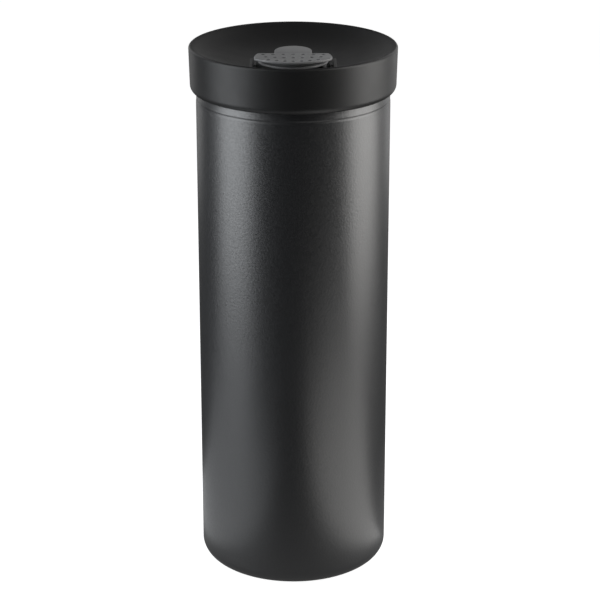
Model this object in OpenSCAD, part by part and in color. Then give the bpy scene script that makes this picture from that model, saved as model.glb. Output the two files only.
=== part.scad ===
// Vacuum-insulated travel tumbler: a double-wall steel cup with a screw-in lid.
// The lid has a dished top, and a rocker lever in it opens and closes the drink hole.
// The origin is the centre of the base, on the surface that the cup stands on, with +Z up.
// The drink hole and the lever's grip plate are on the -Y side.

/* [Cup] */
// Outside diameter of the cup
cup_d = 75; // [68:0.5:92]
// Height of the cup from the base to the lip, with the lid off
cup_h = 199.4; // [140:0.1:260]
// Wall thickness of the outer shell
shell_t = 0.6; // [0.5:0.1:1]
// Wall thickness of the inner liner
liner_t = 0.5; // [0.4:0.1:0.8]
// Width of the vacuum space between the outer shell and the liner
vacuum_gap = 2.8; // [2.2:0.1:4]
// Radius of the rounded corner at the base
corner_r = 5.5; // [4:0.5:8]
// Width of the flat ring that the cup stands on
foot_w = 1.1; // [0.8:0.1:2]
// Height from the base to the underside of the liner's floor
liner_floor_z = 9; // [8.5:0.1:14]
// Radius of the corner between the liner's floor and its wall
liner_corner_r = 8; // [5:0.5:12]

/* [Mouth] */
// Distance from the lip down to the fine ring groove
groove_drop = 7.7; // [7:0.1:12]
// Depth of the ring groove
groove_deep = 0.25; // [0.2:0.05:0.5]
// How much smaller in radius the lip is than the cup
lip_taper = 0.8; // [0.6:0.1:1.2]
// Depth of the wide neck inside the mouth
neck_deep = 13.9; // [13.5:0.1:16]
// Thickness of the joined lip where shell and liner meet
lip_t = 0.6; // [0.5:0.1:1]

/* [Thread] */
// Rise of the lid in one full turn, on a two-start thread
thread_lead = 8; // [7:0.5:10]
// How far each thread ridge stands out
thread_h = 1.1; // [0.9:0.05:1.2]
// Thickness of a thread ridge at its root
thread_w = 1.9; // [1.4:0.1:2]
// Angle that each ridge of the cup runs round
cup_thread_arc = 165; // [120:5:175]
// Angle that each ridge of the lid runs round
lid_thread_arc = 105; // [60:5:120]
// Gap between the two threads at crest and root
thread_gap = 0.35; // [0.3:0.05:0.5]

/* [Lid] */
// Wall thickness of the collar round the cup
collar_t = 2.7; // [2.2:0.05:3.2]
// How far the collar hangs down over the cup below the lip
collar_drop = 4.5; // [3.5:0.1:5]
// Radius that the collar's wall loses from top to bottom
collar_taper = 0.36; // [0:0.02:0.6]
// Radius of the collar's rounded lower edge
collar_r = 2.7; // [2:0.1:4]
// Gap between the collar and the cup
collar_gap = 0.35; // [0.3:0.05:0.6]
// Depth of the dish below the inner edge of the rim
dish_deep = 6; // [5:0.1:8]
// Depth of the lever's well below the bottom of the dish
well_sink = 1.1; // [0.8:0.1:1.6]
// Thickness of the dish
dish_t = 2; // [1.6:0.1:2.4]
// Width of the rim from the outside to the edge of the dish
rim_w = 3; // [2.4:0.1:4]
// Wall thickness of the threaded insert
insert_t = 1.6; // [1.2:0.1:2]
// Thickness of the insert's flange
flange_t = 1.4; // [1:0.1:1.6]
// Thickness of the lid's silicone gasket
gasket_t = 1.15; // [1:0.05:1.3]
// Thickness of the insert's floor plate
plug_floor_t = 2; // [1.6:0.1:2.4]

/* [Drink hole] */
// Length of the drink hole, side to side
sip_l = 14; // [10:0.5:15]
// Width of the drink hole, front to back
sip_w = 7; // [5:0.5:7.5]
// Space between the drink tube and the wall of the insert
sip_inset = 1.3; // [1.1:0.1:1.8]
// Diameter of the air vent
vent_d = 2.2; // [1.6:0.1:2.6]
// Wall thickness of the drink tube and the vent tube
tube_t = 1.2; // [1:0.1:1.4]

/* [Lever] */
// Gap between the front of the lever and the edge of the dish
front_gap = 1.35; // [1.2:0.05:2]
// Length of the grip plate, front to back
plate_l = 14.4; // [13:0.1:15]
// Radius of the grip plate's front edge
plate_front_r = 19.5; // [18:0.5:24]
// Side gap between the ends of the grip plate and the cheeks
plate_in = 0.4; // [0.3:0.1:0.8]
// Thickness of the grip plate
plate_t = 0.9; // [0.8:0.1:1.4]
// Height of the lever's finger wall under the plate
wall_h = 2.2; // [1.6:0.1:2.4]
// How far the finger wall leans in from top to bottom
wall_lean = 1.2; // [0.6:0.1:1.8]
// Depth of the finger groove in that wall
finger_deep = 0.9; // [0.4:0.1:1.4]
// Height of the lever's top above the rim
lever_proud = 1.7; // [1:0.1:2.5]
// Radius of the rear tab's round end
tab_r = 7; // [5.5:0.5:8]
// Length of the rear tab behind the grip plate
tab_l = 11.4; // [10:0.1:11.6]
// Thickness of the rear tab
tab_t = 1.6; // [1.2:0.1:1.6]
// Angle at which the rear tab rises to the back
tab_tilt = 1; // [0:1:6]
// Diameter of the hinge pin
pin_d = 2.4; // [1.6:0.1:2.6]
// Radial clearance between the pin and the lever
pin_gap = 0.06; // [0.03:0.01:0.09]
// Radius of the lever's hinge barrel
barrel_r = 2.9; // [2.5:0.1:3]
// Distance from the rear edge of the grip plate back to the hinge pin
pivot_back = 3.3; // [3:0.1:3.6]
// Height of the hinge pin above the floor of the lever's well
pivot_rise = 3.4; // [3.3:0.1:3.6]
// Half the width of the well that the lever sits in
well_half = 14.9; // [14.8:0.1:15.4]
// Thickness of the cheeks at the sides of the well
cheek_t = 1.2; // [1:0.1:1.6]
// Side clearance between the lever and the cheeks
side_gap = 0.5; // [0.3:0.1:0.8]

/* [Hidden] */
$fn = 96;
slop = 1;          // how far a cutting shape runs past the face that it cuts
seat_gap = 0.05;   // gap between parts that rest on each other but move apart

// Cup, from the outside in
cup_r = cup_d / 2;
shell_in = cup_r - shell_t;
lip_r = cup_r - lip_taper;
groove_z = cup_h - groove_drop;
groove_half = 0.7;
shoulder_h = 2.2;
shoulder_in = 0.45;
foot_r = cup_r - corner_r;
flange_out = foot_r - foot_w;
flange_in = flange_out - shell_t;
flange_top = 5;
liner_out = shell_in - vacuum_gap;
liner_in = liner_out - liner_t;
neck_gap = 0.25;
neck_out = lip_r - shell_t - neck_gap;
neck_in = neck_out - liner_t;
neck_z = cup_h - neck_deep;
neck_slope = neck_in - liner_in;
tube_end_z = liner_floor_z + liner_corner_r;

// Base pieces
base_cap_z = 1;
base_cap_t = 0.8;
base_rim_top = 2.9;
vacuum_base_t = 0.8;
vacuum_base_z = flange_top - vacuum_base_t;
vacuum_rim_low = 3.1;
evac_hole_r = 0.8;
seal_r = 3;
seal_sink = 2;
getter_x = 14;
getter_r = 4;
getter_h = 1.6;
clip_t = 0.3;
clip_flange = 2;
foil_t = 0.2;
foil_gap = 0.1;
foil_end = 4;

// Threads: both lie on right-hand helices, half a pitch apart
starts = 2;
pitch = thread_lead / starts;
cup_thread_tip = neck_in - thread_h;
plug_r = cup_thread_tip - thread_gap;
lid_thread_tip = neck_in - thread_gap;
cup_thread_z = cup_h - 7.4;
lid_thread_z = cup_thread_z - pitch / 2;
lid_thread_turn = 30;
thread_crest = 0.45;
thread_root = 0.3;
thread_step = 7.5;

// Lid, from the cup's lip up
gasket_z = cup_h + seat_gap;
flange_z = gasket_z + gasket_t + seat_gap;
flange_top_z = flange_z + flange_t;
collar_bore = cup_r - shoulder_in + collar_gap;
lid_r = collar_bore + collar_t;
collar_r_low = lid_r - collar_taper;
collar_z = cup_h - collar_drop;
tray_gap = 0.6;
tray_z = flange_top_z + tray_gap;
well_floor = tray_z + dish_t;
dish_floor = well_floor + well_sink;
dish_top = dish_floor + dish_deep;
rim_drop = 0.85;
rim_round = 1;
lid_top = dish_top + rim_drop;
dish_r = lid_r - rim_w;
dish_power = 3;
dish_steps = 14;
plug_in = plug_r - insert_t;
plug_z = neck_z + 0.7;
seat_r = neck_in - 0.6;
seal_groove_w = 1.2;
seal_groove_h = 0.8;
flange_r = collar_bore - 0.4;
well_front_r = dish_r - 0.6;
cheek_top = dish_top - 0.3;
tube_seal_t = 1;
tube_top = tray_z - tube_seal_t;
foam_gap = 0.2;
sip_y = plug_in - sip_inset - tube_t - sip_w / 2;
vent_x = sip_l / 2 + 4;
vent_y = sip_y - 2.5;

// Lever
lever_front = dish_r - front_gap;
plate_back = lever_front - plate_l;
plate_end_r = well_half - plate_in;
plate_end_y = lever_front - 8.4;
pivot_y = plate_back - pivot_back;
well_rear = pivot_y - 4.5;
pivot_z = well_floor + pivot_rise;
cheek_low = well_floor - dish_t / 2;
pin_half = well_half + cheek_t;
lever_top = lid_top + lever_proud;
plate_z = lever_top - plate_t;
wall_z = plate_z - wall_h;
tab_z = lever_top - tab_t;
wall_r = min(plate_l, well_half - side_gap);
barrel_half = well_half - side_gap - 0.6;
pin_r = pin_d / 2;
neck_front = 4.5;
lip_h = 0.4;
tab_root = 0.4;
stop_gap = 0.3;
stopper_t = 1.1;
stopper_z = well_floor + stop_gap;
stopper_top = stopper_z + stopper_t;
stopper_lip = 1.1;
nub_gap = 1;
nub_h = 1.2;
vent_nub_gap = 0.4;
vent_nub_h = 0.6;
post_r = 2.4;
vent_post_r = 1.4;
vent_pad_r = 2.4;
dimple_r = 0.7;
dimple_deep = 0.5;
dimple_side = 3;
dimple_rows = 3;
dimple_edge = 1.9;
dimple_pitch = 3.75;
dimple_lean = 0.35;

steel = [0.75, 0.76, 0.78];
coat = [0.28, 0.29, 0.31];
black = [0.09, 0.09, 0.10];
silicone = [0.20, 0.20, 0.21];

// Points of an arc round [cx, cz] from angle a to angle b
function arc(cx, cz, r, a, b, n = 10) =
    [for (i = [0 : n]) let (t = a + (b - a) * i / n) [cx + r * cos(t), cz + r * sin(t)]];

// Height of the dish's upper face at radius r
function dish_z(r) = dish_floor + dish_deep * pow(r / dish_r, dish_power);

// One thread ridge: a trapezium swept up a helix, rooted a little inside its wall
module ridge(root_r, tip_r, z0, turn0, arc_deg) {
    n = ceil(arc_deg / thread_step);
    section = [[root_r, -thread_w / 2], [tip_r, -thread_crest], [tip_r, thread_crest], [root_r, thread_w / 2]];
    points = [for (i = [0 : n]) for (p = section)
        let (a = arc_deg * i / n, t = turn0 + a)
        [p[0] * cos(t), p[0] * sin(t), z0 + thread_lead * a / 360 + p[1]]];
    skin = [for (i = [0 : n - 1]) for (j = [0 : 3]) for (k = [0, 1])
        let (a = 4 * i + j, b = 4 * i + (j + 1) % 4)
        k == 0 ? [a, b, b + 4] : [a, b + 4, a + 4]];
    ends = [[0, 3, 2], [0, 2, 1], [4 * n, 4 * n + 1, 4 * n + 2], [4 * n, 4 * n + 2, 4 * n + 3]];
    faces = concat(skin, ends);
    polyhedron(points, tip_r > root_r ? faces : [for (f = faces) [f[2], f[1], f[0]]], convexity = 6);
}

// Outline of a slot with round ends, centred on the drink hole
module slot(length, width) {
    translate([0, -sip_y]) {
        square([length - width, width], center = true);
        for (s = [-1, 1]) translate([s * (length - width) / 2, 0]) circle(d = width);
    }
}

// Places its children at the vent
module at_vent() {
    translate([vent_x, -vent_y, 0]) children();
}

// Powder-coated steel shell, with a rounded base, a turned-in foot and a tapered lip band
module outer_shell() {
    color(coat) rotate_extrude() polygon(concat(
        [[flange_in, flange_top], [flange_in, shell_t], [flange_in + shell_t, 0]],
        arc(foot_r, corner_r, corner_r, -90, 0),
        [[cup_r, groove_z - groove_half], [cup_r - groove_deep, groove_z], [cup_r - 0.1, groove_z + groove_half]],
        [[cup_r - shoulder_in, groove_z + shoulder_h], [lip_r, cup_h - lip_t], [lip_r - shell_t, cup_h - lip_t]],
        [[shell_in - shoulder_in, groove_z + shoulder_h], [shell_in - groove_deep, groove_z], [shell_in, groove_z - 3]],
        arc(foot_r, corner_r, corner_r - shell_t, 0, -90),
        [[flange_out, shell_t], [flange_out, flange_top]]));
}

// Pressed steel cap that covers the seal under the base
module base_cap() {
    color(steel) rotate_extrude() polygon([
        [0, base_cap_z + 0.3], [flange_in * 0.7, base_cap_z + 0.3], [flange_in * 0.75, base_cap_z],
        [flange_in - 0.5, base_cap_z], [flange_in, base_cap_z + 0.5], [flange_in, base_rim_top],
        [flange_in - base_cap_t, base_rim_top], [flange_in - base_cap_t, base_cap_z + base_cap_t],
        [flange_in * 0.75, base_cap_z + base_cap_t], [flange_in * 0.7, base_cap_z + 0.3 + base_cap_t],
        [0, base_cap_z + 0.3 + base_cap_t]]);
}

// Welded floor of the outer shell, with the hole that the air was drawn out of
module vacuum_base() {
    color(steel) difference() {
        rotate_extrude() polygon([
            [0, vacuum_base_z], [flange_in - vacuum_base_t, vacuum_base_z], [flange_in - vacuum_base_t, vacuum_rim_low],
            [flange_in, vacuum_rim_low], [flange_in, flange_top], [0, flange_top]]);
        translate([0, 0, vacuum_base_z - slop]) cylinder(r = evac_hole_r, h = vacuum_base_t + 2 * slop);
    }
}

// Bead of solder glass that closes the evacuation hole
module vacuum_seal() {
    color("dimgray") intersection() {
        translate([0, 0, vacuum_base_z + seal_sink]) sphere(r = seal_r);
        translate([0, 0, vacuum_base_z - seal_r]) cylinder(r = seal_r, h = seal_r);
    }
}

// Getter pellet that keeps the vacuum
module getter() {
    color("gray") translate([getter_x, 0, flange_top]) cylinder(r = getter_r, h = getter_h);
}

// Thin steel hat that holds the getter to the vacuum base
module getter_clip() {
    color(steel) translate([getter_x, 0, flange_top]) difference() {
        union() {
            cylinder(r = getter_r + clip_t + clip_flange, h = clip_t);
            cylinder(r = getter_r + clip_t, h = getter_h + clip_t);
        }
        translate([0, 0, -slop]) cylinder(r = getter_r, h = getter_h + slop);
        cylinder(r = getter_r / 2, h = getter_h + clip_t + slop);
    }
}

// Round-cornered floor welded to the lower end of the liner
module liner_floor() {
    color(steel) rotate_extrude() polygon(concat(
        [[0, liner_floor_z]],
        arc(liner_out - liner_corner_r, tube_end_z, liner_corner_r, -90, 0),
        arc(liner_out - liner_corner_r, tube_end_z, liner_corner_r - liner_t, 0, -90),
        [[0, liner_floor_z + liner_t]]));
}

// Steel liner: a tube with a wide threaded neck and a lip rolled out over the shell
module inner_liner() {
    color(steel) union() {
        rotate_extrude() polygon(concat(
            [[liner_in, tube_end_z], [liner_out, tube_end_z], [liner_out, neck_z - neck_slope - liner_t / 2]],
            [[neck_out, neck_z - liner_t / 2], [neck_out, cup_h - lip_t]],
            arc(lip_r - lip_t, cup_h - lip_t, lip_t, 0, 90, 5),
            arc(neck_in + lip_t, cup_h - lip_t, lip_t, 90, 180, 5),
            [[neck_in, neck_z], [liner_in, neck_z - neck_slope]]));
        for (s = [0 : starts - 1])
            ridge(neck_in + thread_root, cup_thread_tip, cup_thread_z, s * 360 / starts, cup_thread_arc);
    }
}

// Bright foil round the liner that turns back heat
module insulation_foil() {
    foil_low = tube_end_z + foil_end;
    foil_high = neck_z - neck_slope - foil_end;
    color("lightgray") translate([0, 0, foil_low]) difference() {
        cylinder(r = liner_out + foil_gap + foil_t, h = foil_high - foil_low);
        translate([0, 0, -slop]) cylinder(r = liner_out + foil_gap, h = foil_high - foil_low + 2 * slop);
    }
}

// Silicone gasket that the lid presses onto the lip
module lid_gasket() {
    color(silicone) translate([0, 0, gasket_z]) difference() {
        cylinder(r = lip_r, h = gasket_t);
        translate([0, 0, -slop]) cylinder(r = plug_r + thread_gap, h = gasket_t + 2 * slop);
    }
}

// Threaded insert: a tube that goes down the mouth, with a flange under the cover
module lid_insert() {
    color(black) union() {
        difference() {
            union() {
                translate([0, 0, plug_z]) cylinder(r = plug_r, h = flange_z - plug_z);
                translate([0, 0, flange_z]) cylinder(r = flange_r, h = flange_t);
            }
            translate([0, 0, plug_z - slop]) cylinder(r = plug_in, h = flange_top_z - plug_z + 2 * slop);
        }
        for (s = [0 : starts - 1])
            ridge(plug_r - thread_root, lid_thread_tip, lid_thread_z, lid_thread_turn + s * 360 / starts, lid_thread_arc);
    }
}

// Floor plate of the insert, with the drink tube and the vent tube standing on it
module plug_floor() {
    color(black) translate([0, 0, plug_z]) difference() {
        union() {
            cylinder(r = plug_in, h = plug_floor_t);
            linear_extrude(tube_top - plug_z) slot(sip_l + 2 * tube_t, sip_w + 2 * tube_t);
            at_vent() cylinder(d = vent_d + 2 * tube_t, h = tube_top - plug_z);
        }
        translate([0, 0, -slop]) linear_extrude(tube_top - plug_z + 2 * slop) slot(sip_l, sip_w);
        translate([0, 0, -slop]) at_vent() cylinder(d = vent_d, h = tube_top - plug_z + 2 * slop);
    }
}

// Foam disc inside the insert, round the two tubes
module lid_insulation() {
    foam_z = plug_z + plug_floor_t;
    foam_h = tube_top - foam_z - foam_gap;
    color("whitesmoke") translate([0, 0, foam_z]) difference() {
        cylinder(r = plug_in - foam_gap, h = foam_h);
        translate([0, 0, -slop]) linear_extrude(foam_h + 2 * slop) {
            slot(sip_l + 2 * (tube_t + foam_gap), sip_w + 2 * (tube_t + foam_gap));
            at_vent() circle(d = vent_d + 2 * (tube_t + foam_gap));
        }
    }
}

// Flat seal between the insert's flange and the cover
module cover_seal() {
    color(silicone) translate([0, 0, flange_top_z]) difference() {
        cylinder(r = seat_r + seal_groove_w, h = seal_groove_h);
        translate([0, 0, -slop]) cylinder(r = seat_r, h = seal_groove_h + 2 * slop);
    }
}

// Seal between the tops of the two tubes and the cover
module tube_seals() {
    color(silicone) translate([0, 0, tube_top]) linear_extrude(tube_seal_t) difference() {
        union() {
            slot(sip_l + 2 * tube_t, sip_w + 2 * tube_t);
            at_vent() circle(d = vent_d + 2 * tube_t);
        }
        slot(sip_l, sip_w);
        at_vent() circle(d = vent_d);
    }
}

// Outline of the lid in section: collar, rounded rim and dish
module cover_section() {
    foot = collar_bore + 0.02;
    foot_angle = -acos((foot - (collar_r_low - collar_r)) / collar_r);
    polygon(concat(
        [[collar_bore, collar_z + 1]],
        arc(collar_r_low - collar_r, collar_z + collar_r, collar_r, foot_angle, 0),
        arc(lid_r - rim_round, lid_top - rim_round, rim_round, 0, 90, 6),
        [[dish_r + 0.35, dish_top + 0.2]],
        [for (i = [dish_steps : -1 : 0]) let (r = dish_r * i / dish_steps) [r, dish_z(r)]],
        [for (i = [0 : dish_steps]) let (r = seat_r * i / dish_steps) [r, dish_z(r) - dish_t]],
        [[seat_r, flange_top_z + seal_groove_h], [seat_r + seal_groove_w, flange_top_z + seal_groove_h]],
        [[seat_r + seal_groove_w, flange_top_z], [collar_bore, flange_top_z]]));
}

// Space between the cheeks that the lever swings in, as a plan outline
module well_outline(grow = 0) {
    intersection() {
        circle(r = well_front_r + grow);
        translate([-well_half - grow, -lid_r]) square([2 * (well_half + grow), lid_r - well_rear + grow]);
    }
}

// Side view of a cheek, round at its rear end about the pivot
module cheek_side() {
    translate([-lid_r, cheek_low]) square([lid_r - pivot_y, cheek_top - cheek_low]);
    translate([-pivot_y, pivot_z]) circle(r = cheek_top - pivot_z);
    translate([-pivot_y, cheek_low]) square([cheek_top - pivot_z, pivot_z - cheek_low]);
}

// Extrudes an outline along the pin's axis, to the same length on both sides
module along_pin(half) {
    translate([-half, -pivot_y, pivot_z]) rotate([90, 0, 90]) linear_extrude(2 * half) children();
}

// Dished cover with its collar, the lever's well and the two cheeks that hold the pin
module lid_cover() {
    color(black) difference() {
        union() {
            rotate_extrude() cover_section();
            translate([0, 0, tray_z]) linear_extrude(dish_t) intersection() {
                well_outline(cheek_t);
                circle(r = seat_r);
            }
            intersection() {
                for (s = [-1, 1]) translate([s * (well_half + cheek_t / 2), 0, 0])
                    rotate([90, 0, 90]) linear_extrude(cheek_t, center = true) cheek_side();
                translate([0, 0, cheek_low]) cylinder(r = dish_r, h = cheek_top - cheek_low);
            }
        }
        translate([0, 0, well_floor]) linear_extrude(lid_top - well_floor) well_outline();
        translate([0, 0, tray_z - slop]) linear_extrude(dish_t + 2 * slop) slot(sip_l, sip_w);
        translate([0, 0, tray_z - slop]) at_vent() cylinder(d = vent_d, h = dish_t + 2 * slop);
        along_pin(pin_half + slop) circle(r = pin_r);
    }
}

// Plan of the grip plate: a half-moon with rounded ends
module plate_outline() {
    intersection() {
        translate([0, plate_front_r - lever_front]) circle(r = plate_front_r);
        translate([0, -plate_end_y]) circle(r = plate_end_r);
        translate([-plate_end_r, -lever_front]) square([2 * plate_end_r, plate_l]);
    }
}

// Wall under the grip plate, half round and leaning in, with a groove for a fingertip
module finger_wall() {
    intersection() {
        translate([0, -plate_back, 0]) rotate_extrude() polygon([
            [0, wall_z], [wall_r - wall_lean, wall_z], [wall_r - wall_lean, wall_z + lip_h],
            [wall_r - wall_lean / 2 - finger_deep, wall_z + 2 * lip_h],
            [wall_r - finger_deep, plate_z - 2 * lip_h], [wall_r - lip_h, plate_z], [0, plate_z]]);
        translate([-lid_r, -lid_r, wall_z]) cube([2 * lid_r, lid_r - plate_back, wall_h]);
    }
}

// Small round dimples in rows that follow the plate's front edge
module grip_dimples() {
    for (c = [-dimple_side : dimple_side]) for (k = [0 : dimple_rows - 1]) {
        x = c * (dimple_pitch - dimple_lean * k);
        front = lever_front - plate_front_r + sqrt(pow(plate_front_r, 2) - x * x) - dimple_edge;
        rear = plate_back + dimple_edge;
        translate([x, -rear - (front - rear) * k / (dimple_rows - 1), lever_top - dimple_deep])
            cylinder(r = dimple_r, h = dimple_deep + slop);
    }
}

// Rocker lever: grip plate in front, thumb tab behind, hinge barrel and two posts below
module flip_lever() {
    color(black) difference() {
        union() {
            translate([0, 0, plate_z]) linear_extrude(plate_t) plate_outline();
            finger_wall();
            translate([0, -plate_back, tab_z]) rotate([tab_tilt, 0, 0]) linear_extrude(tab_t) {
                translate([-tab_r, -tab_root]) square([2 * tab_r, tab_root + tab_l - tab_r]);
                translate([0, tab_l - tab_r]) circle(r = tab_r);
            }
            along_pin(barrel_half) {
                circle(r = barrel_r);
                translate([-neck_front, 0]) square([neck_front, tab_z - pivot_z]);
            }
            translate([0, -sip_y, stopper_top]) cylinder(r = post_r, h = plate_z - stopper_top);
            translate([0, 0, stopper_top]) at_vent() cylinder(r = vent_post_r, h = plate_z - stopper_top);
        }
        along_pin(pin_half) circle(r = pin_r + pin_gap);
        grip_dimples();
    }
}

// Steel pin that the lever rocks on, pressed through both cheeks
module hinge_pin() {
    color(steel) translate([-pin_half, -pivot_y, pivot_z]) rotate([0, 90, 0]) cylinder(r = pin_r, h = 2 * pin_half);
}

// Silicone stopper that closes the drink hole
module sip_stopper() {
    color(silicone) translate([0, 0, stopper_z]) {
        linear_extrude(stopper_t) slot(sip_l + 2 * stopper_lip, sip_w + 2 * stopper_lip);
        translate([0, 0, -nub_h]) linear_extrude(nub_h) slot(sip_l - 2 * nub_gap, sip_w - 2 * nub_gap);
    }
}

// Silicone stopper that closes the air vent
module vent_stopper() {
    color(silicone) translate([0, 0, stopper_z]) at_vent() {
        cylinder(r = vent_pad_r, h = stopper_t);
        translate([0, 0, -vent_nub_h]) cylinder(r = vent_d / 2 - vent_nub_gap, h = vent_nub_h);
    }
}

outer_shell();
base_cap();
vacuum_base();
vacuum_seal();
getter();
getter_clip();
liner_floor();
inner_liner();
insulation_foil();
lid_gasket();
lid_insert();
plug_floor();
lid_insulation();
cover_seal();
tube_seals();
lid_cover();
flip_lever();
hinge_pin();
sip_stopper();
vent_stopper();
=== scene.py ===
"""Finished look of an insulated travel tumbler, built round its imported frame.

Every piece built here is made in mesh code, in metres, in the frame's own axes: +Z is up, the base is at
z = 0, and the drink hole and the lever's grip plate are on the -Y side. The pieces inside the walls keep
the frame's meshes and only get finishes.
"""

import math

import bmesh
import bpy
from bpy.props import FloatProperty, FloatVectorProperty, IntProperty, PointerProperty
from bpy.types import Operator, Panel, PropertyGroup
from mathutils import Matrix, Vector


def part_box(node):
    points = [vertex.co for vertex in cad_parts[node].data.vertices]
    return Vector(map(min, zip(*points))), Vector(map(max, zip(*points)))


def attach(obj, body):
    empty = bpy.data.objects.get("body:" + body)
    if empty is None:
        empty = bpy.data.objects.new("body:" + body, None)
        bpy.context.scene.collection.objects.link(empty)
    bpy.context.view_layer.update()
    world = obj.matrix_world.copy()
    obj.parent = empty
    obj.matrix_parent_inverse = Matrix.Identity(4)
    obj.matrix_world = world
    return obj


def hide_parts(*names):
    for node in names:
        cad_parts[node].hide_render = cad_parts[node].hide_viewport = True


bl_info = {
    "name": "Insulated tumbler",
    "version": (1, 0, 0),
    "blender": (4, 5, 0),
    "location": "View3D > Sidebar > Tumbler",
    "description": "Builds the cup, the screw-in lid, the rocker lever and a plain studio",
    "category": "Add Mesh",
}

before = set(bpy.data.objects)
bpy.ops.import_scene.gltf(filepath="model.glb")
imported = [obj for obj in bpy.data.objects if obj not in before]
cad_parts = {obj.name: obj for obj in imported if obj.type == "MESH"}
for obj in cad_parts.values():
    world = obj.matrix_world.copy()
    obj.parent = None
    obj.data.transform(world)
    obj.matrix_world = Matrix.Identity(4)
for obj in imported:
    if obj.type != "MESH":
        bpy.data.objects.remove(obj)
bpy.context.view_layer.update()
MM = 0.001


def low(node):
    """Lowest corner of a frame node."""
    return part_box(node)[0]


def high(node):
    """Highest corner of a frame node."""
    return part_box(node)[1]


def length(name, description, default):
    """A distance that a user can change."""
    return FloatProperty(name=name, description=description, default=default,
                         min=0.0, unit="LENGTH", subtype="DISTANCE", precision=5)


def colour(name, description, default):
    """A surface colour that a user can change."""
    return FloatVectorProperty(name=name, description=description, default=default,
                               min=0.0, max=1.0, size=3, subtype="COLOR")


def share(name, description, default):
    """A number from 0 to 1 that a user can change."""
    return FloatProperty(name=name, description=description, default=default,
                         min=0.0, max=1.0, subtype="FACTOR")


def angle(name, description, degrees):
    """An angle that a user can change."""
    return FloatProperty(name=name, description=description, default=math.radians(degrees),
                         unit="ROTATION", subtype="ANGLE")


def watts(name, description, default):
    """A light's power that a user can change."""
    return FloatProperty(name=name, description=description, default=default, min=0.0, unit="POWER")


# ---------------------------------------------------------------- sizes and finishes

class CupSizes(PropertyGroup):
    """Sizes of the steel cup."""

    radius: length("Radius", "Outside radius of the cup", high("outer_shell").x)
    lip_top: length("Lip height", "Height of the lip above the base", high("inner_liner").z)
    lip_radius: length("Lip radius", "Outside radius of the rolled lip", high("inner_liner").x)
    lip_roll: length("Lip roll", "Radius of the rolled edge of the lip",
                     high("inner_liner").z - high("outer_shell").z)
    wall: length("Shell wall", "Wall thickness of the outer shell", 0.6 * MM)
    liner_wall: length("Liner wall", "Wall thickness of the liner", 0.5 * MM)
    liner_radius: length("Liner radius", "Outside radius of the liner's tube", high("liner_floor").x)
    liner_start: length("Liner start", "Height where the liner's tube meets its floor",
                        low("inner_liner").z)
    floor_low: length("Floor height", "Height of the underside of the liner's floor",
                      low("liner_floor").z)
    corner: length("Base corner", "Radius of the rounded corner at the base", 5.5 * MM)
    cap_radius: length("Base cap radius", "Outside radius of the cap under the base", high("base_cap").x)
    groove_drop: length("Groove drop", "Distance from the lip down to the ring groove", 7.7 * MM)
    groove_deep: length("Groove depth", "Depth of the ring groove", 0.25 * MM)
    shoulder: length("Shoulder height", "Height of the shoulder from the groove to the band", 2.2 * MM)
    shoulder_in: length("Shoulder width", "How far the shoulder draws in", 0.45 * MM)
    neck_deep: length("Neck depth", "Depth of the wide neck inside the mouth", 13.9 * MM)
    neck_gap: length("Neck gap", "Gap between the shell and the liner's neck", 0.25 * MM)
    thread_lead: length("Thread lead", "Rise of the lid in one full turn", 8.0 * MM)
    thread_height: length("Thread height", "How far a thread ridge stands out", 1.1 * MM)
    thread_width: length("Thread width", "Thickness of a thread ridge at its root", 1.9 * MM)


class LidSizes(PropertyGroup):
    """Sizes of the lid."""

    radius: length("Radius", "Outside radius of the lid at its top", high("lid_cover").x)
    top: length("Rim height", "Height of the rim above the base", high("lid_cover").z)
    bottom: length("Collar edge", "Height of the collar's lower edge", low("lid_cover").z)
    bore: length("Collar bore", "Radius of the collar's bore", 37.4 * MM)
    taper: length("Collar taper", "Radius that the collar loses from top to bottom", 0.36 * MM)
    lower_round: length("Lower rounding", "Radius of the collar's rounded lower edge", 2.7 * MM)
    rim_round: length("Rim rounding", "Radius of the rim's outer edge", 1.0 * MM)
    rim_width: length("Rim width", "Width of the rim from the outside to the dish", 3.0 * MM)
    rim_drop: length("Rim drop", "Height of the rim above the edge of the dish", 0.85 * MM)
    dish_deep: length("Dish depth", "Depth of the dish below its edge", 6.0 * MM)
    dish_wall: length("Dish wall", "Thickness of the dish", 2.0 * MM)
    well_sink: length("Well depth", "Depth of the lever's well below the dish", 1.1 * MM)
    well_half: length("Well half width", "Half the width of the lever's well", 14.9 * MM)
    well_behind: length("Well behind pin", "Distance from the pin to the well's rear", 4.5 * MM)
    cheek: length("Cheek thickness", "Thickness of the cheeks that hold the pin", 1.2 * MM)
    insert_wall: length("Insert wall", "Wall thickness of the threaded insert", 1.6 * MM)
    flange: length("Flange thickness", "Thickness of the insert's flange", 1.4 * MM)
    floor_wall: length("Insert floor", "Thickness of the insert's floor plate", 2.0 * MM)
    tube_wall: length("Tube wall", "Wall thickness of the drink tube and the vent tube", 1.2 * MM)
    hole_length: length("Drink hole length", "Length of the drink hole, side to side", 14.0 * MM)
    hole_width: length("Drink hole width", "Width of the drink hole, front to back", 7.0 * MM)
    vent_radius: length("Vent radius", "Radius of the air vent", 1.1 * MM)


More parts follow.
